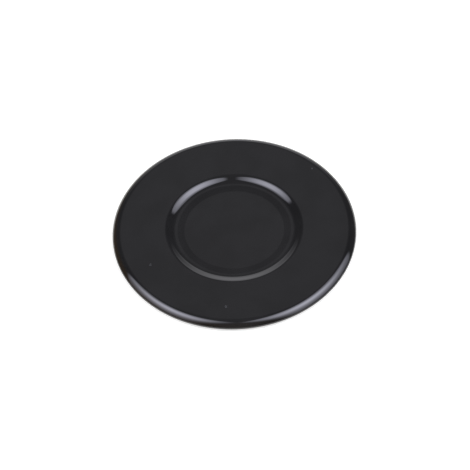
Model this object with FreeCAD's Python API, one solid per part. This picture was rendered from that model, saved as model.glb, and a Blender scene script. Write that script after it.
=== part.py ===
import FreeCAD, Part
import math
import os

# Gas burner cap: a round lid pressed from one disc of steel sheet and enamelled all over.
# Its section is a run of straights joined by tangent bends, with one sheet thickness
# throughout, turned about the Z axis. Lengths are millimetres. +Z is up, and the origin
# is on the axis, level with the lowest point of the underside.

# Sheet
sheet_thickness = 1.5  # steel with the enamel on both faces

# Rim, turned down, with the outer corner of its edge rounded and the inner one chamfered
cap_diameter = 75.0  # across the outermost edge
rim_bend_radius = 3.2  # top face of the bend
rim_turn_deg = 49.5  # how far the bend turns down from level

# Recess in the top, which is the locating boss underneath
recess_mouth_diameter = 43.2  # where the wall leaves the flat top
recess_depth = 0.97
recess_wall_deg = 24.0  # slope of the wall from level
mouth_radius = 3.1  # top face, over the edge of the mouth
foot_radius = 4.1  # top face, at the foot of the wall

# Shallow dish in the recess floor
dish_ledge_width = 0.1  # level ledge between the foot of the wall and the dish
dish_depth = 0.26
dish_slope_deg = 6.3
dish_bend_radius = 4.0  # top face of both of its bends


def straight_wall(depth, slope, radius_sum):
    """Length of the straight part of a wall between its two bends."""
    return (depth - radius_sum * (1 - math.cos(slope))) / math.sin(slope)


def wall_width(length, slope, radius_sum):
    """Level width of a wall with its two bends."""
    return radius_sum * math.sin(slope) + length * math.cos(slope)


def point_at(r, z):
    """Point of the section, which lies in the XZ plane."""
    return FreeCAD.Vector(r, 0, z)


def face_edges(steps, start, depth):
    """Edges of one face of the sheet, at a depth below its top face, and where they end.

    Each step is a straight, given by its length alone, or a bend, given by the radius of
    its top face and the angle that it turns, which is positive upwards. Both faces of a
    bend share one centre, so the face below has the larger radius where the sheet turns
    up and the smaller one where it turns down.
    """
    edges = []
    here = point_at(start.x, start.z - depth)
    heading = 0.0
    for step in steps:
        if len(step) == 1:
            there = here + point_at(math.cos(heading), math.sin(heading)) * step[0]
            edges.append(Part.LineSegment(here, there).toShape())
        else:
            top_radius, turn = step
            side = math.copysign(1.0, turn)
            radius = top_radius + side * depth
            centre = here + point_at(-math.sin(heading), math.cos(heading)) * (side * radius)
            middle_heading = heading + turn / 2
            heading += turn
            middle = centre + point_at(math.sin(middle_heading), -math.cos(middle_heading)) * (side * radius)
            there = centre + point_at(math.sin(heading), -math.cos(heading)) * (side * radius)
            edges.append(Part.Arc(here, middle, there).toShape())
        here = there
    return edges, here


# Angles in radians
rim_turn = math.radians(rim_turn_deg)
recess_slope = math.radians(recess_wall_deg)
dish_slope = math.radians(dish_slope_deg)

# Walls of the recess and of the dish
recess_radius_sum = mouth_radius + foot_radius
recess_straight = straight_wall(recess_depth, recess_slope, recess_radius_sum)
recess_floor_r = recess_mouth_diameter / 2 - wall_width(recess_straight, recess_slope, recess_radius_sum)
dish_radius_sum = 2 * dish_bend_radius
dish_straight = straight_wall(dish_depth, dish_slope, dish_radius_sum)
dish_mouth_r = recess_floor_r - dish_ledge_width
dish_floor_r = dish_mouth_r - wall_width(dish_straight, dish_slope, dish_radius_sum)

# Rim: its edge is rounded by half the sheet, about a centre in the middle of the sheet
edge_radius = sheet_thickness / 2
rim_middle_radius = rim_bend_radius - edge_radius
flat_top_r = cap_diameter / 2 - edge_radius - rim_middle_radius * math.sin(rim_turn)
rim_drop = rim_bend_radius - rim_middle_radius * math.cos(rim_turn) + edge_radius * math.sin(rim_turn)

# Height of the flat top over whichever is lower, the boss or the rim
boss_drop = recess_depth + dish_depth + sheet_thickness
top_z = max(boss_drop, rim_drop)

# The sheet from the axis outwards
steps = [
    (dish_floor_r,),
    (dish_bend_radius, dish_slope),
    (dish_straight,),
    (dish_bend_radius, -dish_slope),
    (dish_ledge_width,),
    (foot_radius, recess_slope),
    (recess_straight,),
    (mouth_radius, -recess_slope),
    (flat_top_r - recess_mouth_diameter / 2,),
    (rim_bend_radius, -rim_turn),
]

# Section: top face, rounded and chamfered edge, underside and the line on the axis
floor_centre = point_at(0, top_z - recess_depth - dish_depth)
boss_centre = point_at(0, floor_centre.z - sheet_thickness)
top_edges, top_end = face_edges(steps, floor_centre, 0.0)
under_edges, under_end = face_edges(steps, floor_centre, sheet_thickness)
edge_centre = (top_end + under_end) / 2
edge_outwards = point_at(math.cos(rim_turn), -math.sin(rim_turn))
edge_upwards = point_at(math.sin(rim_turn), math.cos(rim_turn))
edge_half_way = (edge_outwards + edge_upwards).normalize()
edge_tip = edge_centre + edge_outwards * edge_radius
rounding = Part.Arc(top_end, edge_centre + edge_half_way * edge_radius, edge_tip).toShape()
chamfer = Part.LineSegment(edge_tip, under_end).toShape()
axis_line = Part.LineSegment(boss_centre, floor_centre).toShape()

outline = [axis_line] + top_edges + [rounding, chamfer] + under_edges
section = Part.Face(Part.Wire(Part.__sortEdges__(outline)))
burner_cap = section.revolve(FreeCAD.Vector(0, 0, 0), FreeCAD.Vector(0, 0, 1), 360)

os.makedirs("parts", exist_ok=True)
burner_cap.exportStep("parts/burner_cap.step")
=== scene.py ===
"""Gas burner cap: a round lid pressed from one disc of steel sheet and enamelled gloss black."""
import math

import bpy
import numpy as np
from bpy.props import FloatProperty, FloatVectorProperty, IntProperty, PointerProperty
from mathutils import Matrix, Vector


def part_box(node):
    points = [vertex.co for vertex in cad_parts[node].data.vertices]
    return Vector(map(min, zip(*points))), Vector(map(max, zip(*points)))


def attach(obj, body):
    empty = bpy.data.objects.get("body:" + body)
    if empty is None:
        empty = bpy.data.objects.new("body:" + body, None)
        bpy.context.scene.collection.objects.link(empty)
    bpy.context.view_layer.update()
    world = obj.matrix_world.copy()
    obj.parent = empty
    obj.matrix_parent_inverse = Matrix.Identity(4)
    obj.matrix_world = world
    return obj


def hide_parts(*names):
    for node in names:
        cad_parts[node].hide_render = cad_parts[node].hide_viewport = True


bl_info = {
    "name": "Burner Cap",
    "version": (1, 0, 0),
    "blender": (4, 5, 0),
    "location": "3D View > Sidebar > Burner Cap",
    "description": "Builds an enamelled gas burner cap from its pressed section, on a plain studio stage",
    "category": "Add Mesh",
}

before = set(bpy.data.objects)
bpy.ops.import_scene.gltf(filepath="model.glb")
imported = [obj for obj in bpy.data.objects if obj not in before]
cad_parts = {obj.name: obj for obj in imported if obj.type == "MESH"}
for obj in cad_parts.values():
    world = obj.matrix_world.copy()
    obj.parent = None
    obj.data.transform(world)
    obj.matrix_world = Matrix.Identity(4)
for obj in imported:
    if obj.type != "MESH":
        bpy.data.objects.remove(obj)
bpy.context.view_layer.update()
CAP_NODE = "burner_cap"
CAP_BODY = "root"
CAP_LOW, CAP_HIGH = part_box(CAP_NODE)
MM = 0.001
FULL_TURN = 2 * math.pi
UP = Vector((0, 0, 1))
WHITE = (1.0, 1.0, 1.0, 1.0)


def length(name, description, default):
    """A property that holds a length in metres."""
    return FloatProperty(name=name, description=description, default=default, min=0.0, precision=5,
                         subtype="DISTANCE", unit="LENGTH")


def offset(name, description, default):
    """A property that holds a length in metres that may be negative."""
    return FloatProperty(name=name, description=description, default=default, precision=5,
                         subtype="DISTANCE", unit="LENGTH")


def lens_size(name, description, default):
    """A property that holds a size of the camera in millimetres."""
    return FloatProperty(name=name, description=description, default=default, min=1.0,
                         subtype="DISTANCE_CAMERA", unit="CAMERA")


def angle(name, description, degrees):
    """A property that holds an angle, given here in degrees."""
    return FloatProperty(name=name, description=description, default=math.radians(degrees),
                         subtype="ANGLE", unit="ROTATION")


def colour(name, description, default):
    """A property that holds a linear colour."""
    return FloatVectorProperty(name=name, description=description, default=default, size=3, min=0.0,
                               max=1.0, precision=4, subtype="COLOR")


def fraction(name, description, default):
    """A property that holds a share from 0 to 1."""
    return FloatProperty(name=name, description=description, default=default, min=0.0, max=1.0,
                         precision=4, subtype="FACTOR")


def amount(name, description, default):
    """A property that holds a plain number from 0 up."""
    return FloatProperty(name=name, description=description, default=default, min=0.0, precision=4)


def change(name, description, default):
    """A property that holds a plain number that may be negative."""
    return FloatProperty(name=name, description=description, default=default, precision=4)


class CapSection(bpy.types.PropertyGroup):
    """Section of the pressed sheet: straights joined by tangent bends, one thickness throughout."""

    diameter: length("Diameter", "Across the outermost edge", CAP_HIGH.x - CAP_LOW.x)
    top_height: length("Top height", "Flat top over the floor", CAP_HIGH.z)
    sheet: length("Sheet", "Steel with the enamel on both faces", 1.5 * MM)
    rim_bend: length("Rim bend", "Radius of the rim's bend at the top face", 3.2 * MM)
    rim_turn: angle("Rim turn", "How far the rim turns down from level", 49.5)
    mouth_diameter: length("Mouth", "Where the recess wall leaves the flat top", 43.2 * MM)
    recess_depth: length("Recess depth", "Flat top to the ledge at the foot of the wall", 0.97 * MM)
    wall_slope: angle("Wall slope", "Slope of the recess wall from level", 24.0)
    mouth_bend: length("Mouth bend", "Radius at the top face, over the edge of the mouth", 3.1 * MM)
    foot_bend: length("Foot bend", "Radius at the top face, at the foot of the wall", 4.1 * MM)
    ledge: length("Ledge", "Level width between the foot of the wall and the dish", 0.1 * MM)
    dish_depth: length("Dish depth", "Ledge to the recess floor", 0.26 * MM)
    dish_slope: angle("Dish slope", "Slope of the dish's wall from level", 6.3)
    dish_bend: length("Dish bend", "Radius of both bends of the dish at the top face", 4.0 * MM)
    turns: IntProperty(name="Steps round", description="Steps of the surface round the axis",
                       default=400, min=24)


class EnamelFinish(bpy.types.PropertyGroup):
    """Gloss black enamel, brownish on one side of the edge, with a duller coat on the underside."""

    deep: colour("Deep tone", "Darker of the two tones of the black", (0.0030, 0.0030, 0.0034))
    pale: colour("Pale tone", "Lighter of the two tones of the black", (0.0050, 0.0050, 0.0054))
    edge: colour("Edge tone", "Thin brownish enamel on the rim's edge", (0.0160, 0.0078, 0.0004))
    edge_width: length("Edge width", "Outermost edge to the end of the brownish band", 1.7 * MM)
    edge_full: length("Edge full width", "Part of that band that is fully brown", 0.4 * MM)
    edge_bearing: angle("Edge bearing", "Side of the rim where the band is strongest, from +X", 155.0)
    under: colour("Underside tone", "Ground coat of the underside", (0.0130, 0.0125, 0.0125))
    # Painted highlight: a paler colour towards the crown of each nib, standing in for its glint
    nib_highlight: colour("Speck tone", "Paler glass at the crown of a nib", (0.0360, 0.0360, 0.0370))
    index: FloatProperty(name="Index", description="Index of refraction of the glass", default=1.72,
                         min=1.0, max=2.0)
    gloss: fraction("Gloss roughness", "Roughness of the top coat", 0.03)
    gloss_spread: fraction("Gloss spread", "How much the roughness drifts over the surface", 0.02)
    under_rough: fraction("Underside roughness", "Roughness of the ground coat", 0.34)
    tone_patch: length("Tone patch", "Size of the drift in tone and gloss", 9.0 * MM)
    peel_width: length("Peel width", "Width of the ripples in the fired glass", 1.6 * MM)
    peel_height: length("Peel height", "Height of the ripples in the fired glass", 0.0006 * MM)


class NibSizes(bpy.types.PropertyGroup):
    """Three specks that were fired into the enamel of the top face."""

    radii: FloatVectorProperty(name="Radii", description="Distance of each nib from the axis", size=3,
                               default=(29.0 * MM, 30.5 * MM, 33.7 * MM), unit="LENGTH", precision=5)
    bearings: FloatVectorProperty(name="Bearings", description="Angle of each nib round the axis from +X",
                                  default=tuple(map(math.radians, (207.0, 263.3, 41.0))), size=3,
                                  subtype="EULER", unit="ROTATION")
    widths: FloatVectorProperty(name="Widths", description="Width of each nib", size=3,
                                default=(0.80 * MM, 0.80 * MM, 0.65 * MM), unit="LENGTH", precision=5)
    height: length("Height", "Height of a nib over the top face", 0.045 * MM)


class CameraSettings(bpy.types.PropertyGroup):
    """Camera at the photo's angle."""

    elevation: angle("Elevation", "Camera over the horizon", 50.77)
    roll: angle("Roll", "Turn of the camera about its own axis", 2.82)
    distance: length("Distance", "Camera to the middle of the flat top", 0.5250)
    focal_length: lens_size("Focal length", "Focal length of the lens", 130.93)
    sensor_width: lens_size("Sensor width", "Width of the sensor", 36.0)
    aim_right: offset("Aim right", "Picture's middle to the right of the cap's middle", 0.279 * MM)
    aim_up: offset("Aim up", "Picture's middle above the cap's middle", -2.553 * MM)


class SoftboxSettings(bpy.types.PropertyGroup):
    """Two softboxes that mirror each other, and what differs on the right one."""

    distance: length("Distance", "Softboxes to the cap", 2.250)
    elevation: angle("Elevation", "Softboxes over the horizon", 35.2)
    bearing: angle("Bearing", "Softboxes forward of straight sideways", 22.1)
    turn: angle("Turn", "Turn of each softbox about its own axis", -11.6)
    back: offset("Back", "Rear edge of a softbox, from its middle", 1.290)
    front: offset("Front", "Front edge of a softbox, from its middle", -1.054)
    bottom: offset("Bottom", "Lower edge of a softbox, from its middle", -0.625)
    ridge: offset("Ridge", "Level upper edge of a softbox, from its middle", 2.587)
    back_soft: length("Back softness", "Half width of the blur of the rear edge", 0.131)
    rest_soft: length("Edge softness", "Half width of the blur of the front and lower edges", 0.482)
    ridge_soft: length("Ridge softness", "Half width of the blur of the upper edge", 0.181)
    level: amount("Radiance", "Radiance near the edges of the left softbox, where 1 is white", 0.483)
    hot: amount("Hot middle", "What the lamp behind the cloth adds, in times the radiance", 10.304)
    hot_reach: length("Hot reach", "Reach of the hot middle", 0.952)
    hot_across: offset("Hot across", "Hot middle towards the back of the softbox's middle", 0.336)
    hot_up: offset("Hot up", "Hot middle above the softbox's middle", 1.207)
    right_gain: amount("Right gain", "Radiance of the right softbox as a share of the left one's", 2.073)
    right_bearing: angle("Right bearing", "Right softbox forward of the left one", -2.89)
    right_turn: angle("Right turn", "Turn of the right softbox beyond the left one's", 5.43)
    right_back: offset("Right back", "Rear edge of the right softbox beyond the left one's", 0.331)
    right_hot: change("Right hot middle", "Hot middle of the right softbox beyond the left one's", -5.468)
    tint: colour("Colour", "Colour of both softboxes", (0.86, 0.86, 1.0))


class RoomSettings(bpy.types.PropertyGroup):
    """Surroundings: a dim room with a white card behind the cap."""

    dim: amount("Dim", "Radiance of the room, where 1 is white", 0.238)
    card: amount("Card", "Radiance that the white card adds", 0.749)
    card_half: amount("Card half width", "Half width at the horizon, of a card at a distance of 1", 0.242)
    card_flare: change("Card flare", "How much the half width grows for each step up", 0.374)
    card_soft: amount("Card softness", "Half width of the blur of the card's sides", 0.244)
    card_top: amount("Card top", "Height of the upper edge, of a card at a distance of 1", 0.548)
    card_fade: amount("Card fade", "Half height of the blur of the card's upper edge", 0.046)
    patch: amount("Patch", "Radiance that a soft patch over the card adds", 0.081)
    patch_elevation: angle("Patch elevation", "Middle of the patch over the horizon", 51.2)
    patch_reach: angle("Patch reach", "Radius of the patch", 9.4)
    sides: change("Sides", "Radiance that the room gains at its sides", -0.092)
    sides_from: fraction("Sides start", "Sideways share of a direction where the sides begin", 0.052)
    sides_to: fraction("Sides end", "Sideways share of a direction where the sides are full", 0.383)
    tint: colour("Colour", "Colour of the surroundings", (0.96, 0.955, 1.0))


class FloorSettings(bpy.types.PropertyGroup):
    """Pale matt floor."""

    tone: colour("Colour", "Colour of the floor", (0.56, 0.56, 0.49))
    lift: fraction("Lift", "White added to the floor where it is seen, not where it lights", 0.62)
    half_width: length("Half width", "Middle of the floor to its sides", 12.0)
    gap: length("Gap", "Floor below the cap's lowest face", 0.02 * MM)


SETTINGS = {
    "cap_section": CapSection,
    "enamel_finish": EnamelFinish,
    "enamel_nibs": NibSizes,
    "stage_camera": CameraSettings,
    "stage_softboxes": SoftboxSettings,
    "stage_room": RoomSettings,
    "stage_floor": FloorSettings,
}


def along(start, heading, distance, shares):
    """Points of a straight: the start plus each share of the distance along the heading."""
    step = np.asarray(shares)[:, None] * distance
    return start + step * np.array([math.cos(heading), math.sin(heading)])


def around(start, heading, turn, radius, count):
    """Points of a bend: the centre lies at right angles to the heading, on the side that it turns to, and
    each point is the radius away from it, at headings spread evenly over the turn."""
    side = math.copysign(radius, turn)
    centre = start + side * np.array([-math.sin(heading), math.cos(heading)])
    headings = heading + turn * np.arange(1, count + 1) / count
    return centre + side * np.stack([np.sin(headings), -np.cos(headings)], axis=1)


# Where a straight has points: close together at its ends, so that its shading stays flat
STRAIGHT_SHARES = (0.02, 0.10, 0.5, 0.90, 0.98, 1.0)
# Largest turn between two points of a bend, and of the small round edge
BEND_STEP = math.radians(2.4)
EDGE_STEP = math.radians(4.8)
FEWEST_BEND_STEPS = 6


def walk(steps, start, depth):
    """One face of the sheet as points (radius, height), from the start outwards.

    A step is a straight, given by its length alone, or a bend, given by the radius of its top face and its
    turn. Both faces of a bend share one centre, so at a depth below the top face the radius is larger where
    the sheet turns up and smaller where it turns down.
    """
    points = [np.array([start])]
    heading = 0.0
    for step in steps:
        here = points[-1][-1]
        if len(step) == 1:
            points.append(along(here, heading, step[0], STRAIGHT_SHARES))
        else:
            top_radius, turn = step
            count = max(FEWEST_BEND_STEPS, math.ceil(abs(turn) / BEND_STEP))
            points.append(around(here, heading, turn, top_radius + math.copysign(depth, turn), count))
            heading += turn
    return np.concatenate(points)


def wall_steps(depth, slope, inner_bend, outer_bend):
    """A wall that rises by a depth: a bend up, a straight and a bend back to level; and its level width."""
    bends = inner_bend + outer_bend
    straight = (depth - bends * (1 - math.cos(slope))) / math.sin(slope)
    if straight < 0:
        raise ValueError("the bends of a wall are too large for its depth and slope")
    width = bends * math.sin(slope) + straight * math.cos(slope)
    return [(inner_bend, slope), (straight,), (outer_bend, -slope)], width


def cap_profile(section):
    """Section of the cap as three runs of points (radius, height): the top face from the axis outwards, the
    round edge, which is half a circle as wide as the sheet, and the underside back to the axis."""
    edge_radius = section.sheet / 2
    edge_middle = section.diameter / 2 - edge_radius
    flat_end = edge_middle - (section.rim_bend - edge_radius) * math.sin(section.rim_turn)
    recess, recess_width = wall_steps(section.recess_depth, section.wall_slope, section.foot_bend,
                                      section.mouth_bend)
    dish, dish_width = wall_steps(section.dish_depth, section.dish_slope, section.dish_bend,
                                  section.dish_bend)
    mouth = section.mouth_diameter / 2
    steps = [(mouth - recess_width - section.ledge - dish_width,), *dish, (section.ledge,), *recess,
             (flat_end - mouth,), (section.rim_bend, -section.rim_turn)]
    floor_height = section.top_height - section.recess_depth - section.dish_depth
    top = walk(steps, np.array([0.0, floor_height]), 0.0)
    under = walk(steps, np.array([0.0, floor_height - section.sheet]), section.sheet)
    edge = around(top[-1], -section.rim_turn, -math.pi, edge_radius, math.ceil(math.pi / EDGE_STEP))
    # The underside starts at the edge's last point, which is left out here
    return top, edge[:-1], under[::-1]


def revolve(profile, turns):
    """Surface of a section turned about the Z axis: point (i, j) is the section's point i at the angle
    2 pi j / turns. The first and last points lie on the axis and become the two poles."""
    angles = FULL_TURN * np.arange(turns) / turns
    rings = profile[1:-1]
    x = rings[:, :1] * np.cos(angles)
    y = rings[:, :1] * np.sin(angles)
    z = np.repeat(rings[:, 1:], turns, axis=1)
    grid = np.stack([x, y, z], axis=-1).reshape(-1, 3)
    poles = np.array([[0.0, 0.0, profile[0, 1]], [0.0, 0.0, profile[-1, 1]]])
    vertices = np.concatenate([grid, poles])
    ring = np.arange(turns)
    after = (ring + 1) % turns
    first = (np.arange(len(rings) - 1) * turns)[:, None]
    quads = np.stack([first + ring, first + turns + ring, first + turns + after, first + after], axis=-1)
    last = (len(rings) - 1) * turns
    top_fan = np.stack([np.full(turns, len(grid)), ring, after], axis=-1)
    under_fan = np.stack([np.full(turns, len(grid) + 1), last + after, last + ring], axis=-1)
    return vertices, quads.reshape(-1, 4), np.concatenate([top_fan, under_fan])


def over_grid(ring_values, turn_values):
    """Values for the vertices of a turned section: each ring's value times each turn's, then those of the
    two poles."""
    return np.concatenate([np.outer(ring_values[1:-1], turn_values).ravel(), ring_values[[0, -1]]])


def add_object(name, data):
    """A new object in the scene, at the origin."""
    made = bpy.data.objects.new(name, data)
    bpy.context.scene.collection.objects.link(made)
    return made


def mesh_object(name, vertices, *face_groups):
    """A smooth mesh object at the origin, from arrays of vertices and of faces."""
    faces = sum((group.tolist() for group in face_groups), [])
    mesh = bpy.data.meshes.new(name)
    mesh.from_pydata(vertices.tolist(), [], faces)
    mesh.polygons.foreach_set("use_smooth", np.ones(len(faces), dtype=bool))
    mesh.update()
    return add_object(name, mesh)


def set_attribute(made, name, values):
    """Writes one number for each vertex as a named attribute."""
    made.data.attributes.new(name, "FLOAT", "POINT").data.foreach_set("value", values.astype(np.float32))


def empty_tree(holder):
    """The node tree of a material, lamp or world, with its first nodes taken out."""
    holder.use_nodes = True
    holder.node_tree.nodes.clear()
    return holder.node_tree


def add_node(tree, kind, sockets=(), **settings):
    """A new node with its settings, and with its sockets set to values or linked to other sockets."""
    node = tree.nodes.new(kind)
    for name, value in settings.items():
        setattr(node, name, value)
    for socket, value in dict(sockets).items():
        if isinstance(value, bpy.types.NodeSocket):
            tree.links.new(value, node.inputs[socket])
        else:
            node.inputs[socket].default_value = value
    return node


def opaque(tone):
    """A colour with a full alpha, as colour sockets take it."""
    return (*tone, 1.0)


# Places of the Mix node's share, two inputs and result, because several of its sockets have the same name
MIX_NUMBERS = ("FLOAT", 0, 2, 3, 0)
MIX_COLOURS = ("RGBA", 0, 6, 7, 2)


def mix(tree, places, share, first, second):
    """Socket with a blend of two numbers or of two colours."""
    kind, share_place, first_place, second_place, result_place = places
    sockets = {share_place: share, first_place: first, second_place: second}
    return add_node(tree, "ShaderNodeMix", sockets, data_type=kind).outputs[result_place]


def ramp(tree, value, low, high, to_low, to_high):
    """Socket with a value carried smoothly from one range to another."""
    sockets = {"Value": value, "From Min": low, "From Max": high, "To Min": to_low, "To Max": to_high}
    return add_node(tree, "ShaderNodeMapRange", sockets, interpolation_type="SMOOTHSTEP").outputs["Result"]


def edge_step(tree, value, edge, soft, before, after):
    """Socket with a smooth step at an edge, which is blurred by a half width to both sides."""
    return ramp(tree, value, edge - soft, edge + soft, before, after)


def noise(tree, place, size, detail):
    """Socket with a noise from 0 to 1, in patches of about the given size."""
    sockets = {"Vector": place, "Scale": 1 / size, "Detail": detail}
    return add_node(tree, "ShaderNodeTexNoise", sockets).outputs["Fac"]


def attribute(tree, name):
    """Socket with a number that the mesh holds at each vertex."""
    return add_node(tree, "ShaderNodeAttribute", attribute_name=name).outputs["Fac"]


def math_node(tree, operation, *values):
    """Socket with the result of a calculation on numbers or sockets."""
    return add_node(tree, "ShaderNodeMath", dict(enumerate(values)), operation=operation).outputs[0]


def vector_node(tree, operation, *values):
    """The node of a calculation on vectors."""
    return add_node(tree, "ShaderNodeVectorMath", dict(enumerate(values)), operation=operation)


def product(tree, values):
    """Socket with the product of several sockets."""
    result = values[0]
    for value in values[1:]:
        result = math_node(tree, "MULTIPLY", result, value)
    return result


ENAMEL_NAME = "black_enamel"
# Levels of detail of the two noises, and the stretch of the first over which tone and gloss drift
TONE_DETAIL = 3.0
PEEL_DETAIL = 1.0
TONE_STRETCH = (0.35, 0.65)
GLOSS_STRETCH = (0.3, 0.7)


def enamel_material(finish):
    """Fired black glass: two near blacks that drift into each other, a gloss that drifts with them, low
    ripples in the surface, a brownish edge, a dull ground coat on the underside and a painted highlight,
    paler towards the crown of each nib."""
    material = bpy.data.materials.new(ENAMEL_NAME)
    tree = empty_tree(material)
    place = add_node(tree, "ShaderNodeTexCoord").outputs["Object"]
    drift = noise(tree, place, finish.tone_patch, TONE_DETAIL)
    peel = noise(tree, place, finish.peel_width, PEEL_DETAIL)
    under = attribute(tree, "underside")
    share = ramp(tree, drift, *TONE_STRETCH, 0.0, 1.0)
    black = mix(tree, MIX_COLOURS, share, opaque(finish.deep), opaque(finish.pale))
    black = mix(tree, MIX_COLOURS, attribute(tree, "edge"), black, opaque(finish.edge))
    black = mix(tree, MIX_COLOURS, under, black, opaque(finish.under))
    # Painted highlight: paler towards the crown of each nib
    black = mix(tree, MIX_COLOURS, attribute(tree, "nib_highlight"), black, opaque(finish.nib_highlight))
    half_spread = finish.gloss_spread / 2
    gloss = ramp(tree, drift, *GLOSS_STRETCH, finish.gloss - half_spread, finish.gloss + half_spread)
    rough = mix(tree, MIX_NUMBERS, under, gloss, finish.under_rough)
    bump = add_node(tree, "ShaderNodeBump", {"Height": peel, "Distance": finish.peel_height})
    sockets = {"Base Color": black, "Roughness": rough, "IOR": finish.index,
               "Normal": bump.outputs["Normal"]}
    shader = add_node(tree, "ShaderNodeBsdfPrincipled", sockets)
    add_node(tree, "ShaderNodeOutputMaterial", {"Surface": shader.outputs["BSDF"]})
    return material


def enamel(finish):
    """The enamel material, made once."""
    return bpy.data.materials.get(ENAMEL_NAME) or enamel_material(finish)


def edge_shares(profile, section, finish):
    """Share of brown for each vertex: a smooth step of the distance from the outermost edge, times a cosine
    round the axis that is 1 at the edge's bearing and 0 opposite."""
    inwards = section.diameter / 2 - profile[:, 0]
    step = np.clip((finish.edge_width - inwards) / (finish.edge_width - finish.edge_full), 0, 1)
    ring_share = step ** 2 * (3 - 2 * step)
    angles = FULL_TURN * np.arange(section.turns) / section.turns
    return over_grid(ring_share, (1 + np.cos(angles - finish.edge_bearing)) / 2)


class BURNERCAP_OT_make_cap(bpy.types.Operator):
    """Turns the section of the pressed sheet about the axis and enamels it"""

    bl_idname = "burner_cap.make_cap"
    bl_label = "Make Burner Cap"
    bl_options = {"REGISTER", "UNDO"}

    def execute(self, context):
        section = context.scene.cap_section
        finish = context.scene.enamel_finish
        top, edge, under = cap_profile(section)
        profile = np.concatenate([top, edge, under])
        cap = mesh_object("enamelled_cap", *revolve(profile, section.turns))
        set_attribute(cap, "edge", edge_shares(profile, section, finish))
        ring_under = np.concatenate([np.zeros(len(top)), np.linspace(0, 1, len(edge)), np.ones(len(under))])
        set_attribute(cap, "underside", over_grid(ring_under, np.ones(section.turns)))
        cap.data.materials.append(enamel(finish))
        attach(cap, CAP_BODY)
        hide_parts(CAP_NODE)
        return {"FINISHED"}


# Steps of a nib's dome from its crown to its side, and round its axis
NIB_RINGS = 8
NIB_TURNS = 24
# Depth of a nib in the enamel, as a share of its height
NIB_ROOT = 0.3


def nib_lens():
    """Section of a nib of width 1 and height 1, from its crown to its root: at an angle t from the crown the
    radius is sin t / 2 and the height is cos t, which below the top face is cut to the depth of the root."""
    angles = np.linspace(0, math.pi, 2 * NIB_RINGS + 1)
    radii = np.sin(angles) / 2
    radii[[0, -1]] = 0.0
    heights = np.cos(angles)
    return np.stack([radii, np.where(heights > 0, heights, heights * NIB_ROOT)], axis=1)


def nib_domes(nibs, top):
    """Surfaces of all the nibs: the lens turned about its axis, times each nib's width and height, plus each
    nib's place on the top face."""
    lens, quads, fans = revolve(nib_lens(), NIB_TURNS)
    radii, bearings, widths = (np.array(values) for values in (nibs.radii, nibs.bearings, nibs.widths))
    ones = np.ones(len(radii))
    sizes = np.stack([widths, widths, ones * nibs.height], axis=1)
    places = np.stack([radii * np.cos(bearings), radii * np.sin(bearings), ones * top], axis=1)
    vertices = lens * sizes[:, None] + places[:, None]
    starts = len(lens) * np.arange(len(radii))[:, None, None]
    return vertices.reshape(-1, 3), (quads + starts).reshape(-1, 4), (fans + starts).reshape(-1, 3)


class BURNERCAP_OT_make_nibs(bpy.types.Operator):
    """Sets three low domes, rooted in the enamel, on the flat top"""

    bl_idname = "burner_cap.make_nibs"
    bl_label = "Make Enamel Nibs"
    bl_options = {"REGISTER", "UNDO"}

    def execute(self, context):
        nibs = context.scene.enamel_nibs
        top = context.scene.cap_section.top_height
        vertices, quads, fans = nib_domes(nibs, top)
        made = mesh_object("enamel_nibs", vertices, quads, fans)
        # Painted highlight: the share of the paler colour rises from the top face to each nib's crown
        set_attribute(made, "nib_highlight", np.clip((vertices[:, 2] - top) / nibs.height, 0, 1))
        made.data.materials.append(enamel(context.scene.enamel_finish))
        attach(made, CAP_BODY)
        return {"FINISHED"}


def aimed(back, up, turn=0.0):
    """Rotation whose Z axis points back, away from what is looked at, and whose Y axis leans to up, turned
    about the Z axis."""
    across = up.cross(back).normalized()
    upright = back.cross(across)
    return Matrix((across, upright, back)).transposed() @ Matrix.Rotation(turn, 3, "Z")


def add_floor(settings):
    """A wide matt floor just below the cap, white where it is seen."""
    half = settings.half_width
    height = CAP_LOW.z - settings.gap
    corners = np.array([[-half, -half, height], [half, -half, height],
                        [half, half, height], [-half, half, height]])
    floor = mesh_object("floor", corners, np.array([[0, 1, 2, 3]]))
    material = bpy.data.materials.new("pale_floor")
    tree = empty_tree(material)
    rays = add_node(tree, "ShaderNodeLightPath").outputs
    seen = math_node(tree, "MAXIMUM", rays["Is Camera Ray"], rays["Is Glossy Ray"])
    seen = math_node(tree, "MAXIMUM", seen, rays["Is Transmission Ray"])
    lift = math_node(tree, "MULTIPLY", seen, settings.lift)
    sockets = {"Base Color": opaque(settings.tone), "Roughness": 1.0, "Specular IOR Level": 0.0,
               "Emission Color": WHITE, "Emission Strength": lift}
    shader = add_node(tree, "ShaderNodeBsdfPrincipled", sockets)
    add_node(tree, "ShaderNodeOutputMaterial", {"Surface": shader.outputs["BSDF"]})
    floor.data.materials.append(material)


# Side of a lamp's square plane, as a share of its distance
SOFTBOX_PLANE = 2.4
# Power that gives each square metre of a lamp a radiance of 1
LAMP_WATTS = math.pi


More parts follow.
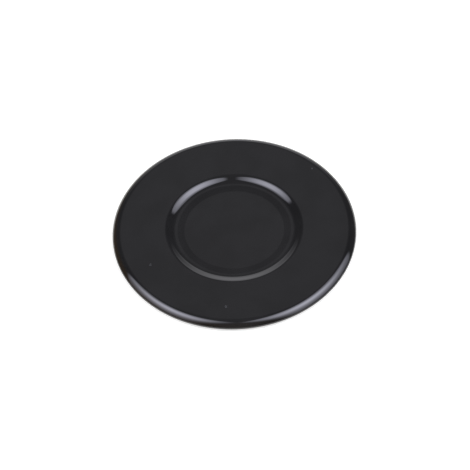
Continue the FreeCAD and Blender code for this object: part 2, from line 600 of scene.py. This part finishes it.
def softbox_strength(tree, settings, side, extent):
    """Socket with the light that each point of a softbox gives, in times the radiance.

    A point of the lamp's plane is measured from its middle, towards the back and up. Three edges of the box
    are turned, the upper one is level, and each is a smooth step. The lamp behind the cloth adds a bell
    curve of the distance from the hot middle.
    """
    right = max(side, 0)
    turn = settings.turn + right * settings.right_turn
    back = settings.back + right * settings.right_back
    hot = settings.hot + right * settings.right_hot
    spread = (side * extent, extent, 0.0)
    corner = (-side * extent / 2, -extent / 2, 0.0)
    share = add_node(tree, "ShaderNodeNewGeometry").outputs["Parametric"]
    place = vector_node(tree, "MULTIPLY_ADD", share, spread, corner).outputs["Vector"]
    backward = (math.cos(turn), math.sin(turn), 0.0)
    upward = (-math.sin(turn), math.cos(turn), 0.0)
    straight_up = (0.0, 1.0, 0.0)
    edges = (
        (backward, back, settings.back_soft, 1.0, 0.0),
        (backward, settings.front, settings.rest_soft, 0.0, 1.0),
        (upward, settings.bottom, settings.rest_soft, 0.0, 1.0),
        (straight_up, settings.ridge, settings.ridge_soft, 1.0, 0.0),
    )
    shares = []
    for axis, edge, soft, before, after in edges:
        distance = vector_node(tree, "DOT_PRODUCT", place, axis).outputs["Value"]
        shares.append(edge_step(tree, distance, edge, soft, before, after))
    hot_middle = (settings.hot_across, settings.hot_up, 0.0)
    away = vector_node(tree, "DISTANCE", place, hot_middle).outputs["Value"]
    away = math_node(tree, "DIVIDE", away, settings.hot_reach)
    square = math_node(tree, "MULTIPLY", away, away)
    bell = math_node(tree, "EXPONENT", math_node(tree, "MULTIPLY", square, -1.0))
    return product(tree, [*shares, math_node(tree, "MULTIPLY_ADD", bell, hot, 1.0)])


def add_softbox(settings, name, side):
    """A square lamp that faces the cap, masked to the shape of a softbox. The side is -1 on the left and 1
    on the right."""
    right = max(side, 0)
    bearing = settings.bearing + right * settings.right_bearing
    radiance = settings.level * (settings.right_gain if right else 1.0)
    flat = math.cos(settings.elevation)
    away = Vector((side * flat * math.cos(bearing), -flat * math.sin(bearing), math.sin(settings.elevation)))
    lamp = bpy.data.lights.new(name, "AREA")
    lamp.shape = "SQUARE"
    lamp.size = SOFTBOX_PLANE * settings.distance
    lamp.energy = LAMP_WATTS * lamp.size ** 2 * radiance
    lamp.color = settings.tint
    tree = empty_tree(lamp)
    strength = softbox_strength(tree, settings, side, lamp.size)
    shader = add_node(tree, "ShaderNodeEmission", {"Strength": strength})
    add_node(tree, "ShaderNodeOutputLight", {"Surface": shader.outputs["Emission"]})
    softbox = add_object(name, lamp)
    softbox.matrix_world = Matrix.Translation(away * settings.distance) @ aimed(away, UP).to_4x4()


# Least depth of a direction that is carried onto the card's plane, which stands behind the cap
LEAST_DEPTH = 0.01


def add_surroundings(settings):
    """Radiance by direction: a dim room, a white card behind the cap that widens upwards, a soft patch over
    it, and darker sides."""
    world = bpy.data.worlds.new("surroundings")
    bpy.context.scene.world = world
    tree = empty_tree(world)
    direction = add_node(tree, "ShaderNodeTexCoord").outputs["Generated"]
    x, y, z = add_node(tree, "ShaderNodeSeparateXYZ", {"Vector": direction}).outputs
    behind = math_node(tree, "GREATER_THAN", y, LEAST_DEPTH)
    deep = math_node(tree, "MAXIMUM", y, LEAST_DEPTH)
    off_middle = math_node(tree, "ABSOLUTE", x)
    sideways = math_node(tree, "DIVIDE", off_middle, deep)
    upwards = math_node(tree, "DIVIDE", z, deep)
    past_edge = math_node(tree, "MULTIPLY_ADD", upwards, -settings.card_flare, sideways)
    within = edge_step(tree, past_edge, settings.card_half, settings.card_soft, settings.card, 0.0)
    below_top = edge_step(tree, upwards, settings.card_top, settings.card_fade, 1.0, 0.0)
    card = product(tree, [behind, within, below_top])
    patch_middle = (0.0, math.cos(settings.patch_elevation), math.sin(settings.patch_elevation))
    nearness = vector_node(tree, "DOT_PRODUCT", direction, patch_middle).outputs["Value"]
    patch = ramp(tree, nearness, math.cos(settings.patch_reach), 1.0, 0.0, settings.patch)
    sides = ramp(tree, off_middle, settings.sides_from, settings.sides_to, 0.0, settings.sides)
    level = settings.dim
    for share in (card, patch, sides):
        level = math_node(tree, "ADD", share, level)
    level = math_node(tree, "MAXIMUM", level, 0.0)
    shader = add_node(tree, "ShaderNodeBackground", {"Color": opaque(settings.tint), "Strength": level})
    add_node(tree, "ShaderNodeOutputWorld", {"Surface": shader.outputs["Background"]})


def add_camera(settings, target):
    """A camera at the photo's angle, which stands back from the target and aims a little off it."""
    back = Vector((0, -math.cos(settings.elevation), math.sin(settings.elevation)))
    turned = aimed(back, UP, -settings.roll)
    place = target + back * settings.distance
    aim = target + turned @ Vector((settings.aim_right, settings.aim_up, 0))
    data = bpy.data.cameras.new("photo_camera")
    data.sensor_width = settings.sensor_width
    data.lens = settings.focal_length
    camera = add_object("photo_camera", data)
    facing = aimed((place - aim).normalized(), turned.col[1])
    camera.matrix_world = Matrix.Translation(place) @ facing.to_4x4()
    bpy.context.scene.camera = camera


class BURNERCAP_OT_set_stage(bpy.types.Operator):
    """Sets the floor, the two softboxes, the surroundings and the camera"""

    bl_idname = "burner_cap.set_stage"
    bl_label = "Set Stage"
    bl_options = {"REGISTER", "UNDO"}

    def execute(self, context):
        scene = context.scene
        scene.view_settings.view_transform = "Standard"
        add_floor(scene.stage_floor)
        add_softbox(scene.stage_softboxes, "left_softbox", -1)
        add_softbox(scene.stage_softboxes, "right_softbox", 1)
        add_surroundings(scene.stage_room)
        add_camera(scene.stage_camera, Vector((0, 0, scene.cap_section.top_height)))
        return {"FINISHED"}


class BURNERCAP_PT_panel(bpy.types.Panel):
    """Lists the steps that build the cap and the sizes that they use"""

    bl_idname = "BURNERCAP_PT_panel"
    bl_label = "Burner Cap"
    bl_space_type = "VIEW_3D"
    bl_region_type = "UI"
    bl_category = "Burner Cap"

    def draw(self, context):
        for step in OPERATORS:
            self.layout.operator(step.bl_idname)
        for name, group in SETTINGS.items():
            box = self.layout.box()
            box.label(text=group.__doc__)
            for setting in group.__annotations__:
                box.prop(getattr(context.scene, name), setting)


OPERATORS = (BURNERCAP_OT_make_cap, BURNERCAP_OT_make_nibs, BURNERCAP_OT_set_stage)
CLASSES = (*SETTINGS.values(), *OPERATORS, BURNERCAP_PT_panel)


def register():
    """Registers the classes and gives each scene its settings."""
    for cls in CLASSES:
        bpy.utils.register_class(cls)
    for name, group in SETTINGS.items():
        setattr(bpy.types.Scene, name, PointerProperty(type=group))


def unregister():
    """Takes the settings off the scenes and the classes out again."""
    for name in SETTINGS:
        delattr(bpy.types.Scene, name)
    for cls in reversed(CLASSES):
        bpy.utils.unregister_class(cls)


def main():
    register()
    bpy.ops.burner_cap.make_cap()
    bpy.ops.burner_cap.make_nibs()
    bpy.ops.burner_cap.set_stage()


if __name__ == "__main__":
    main()
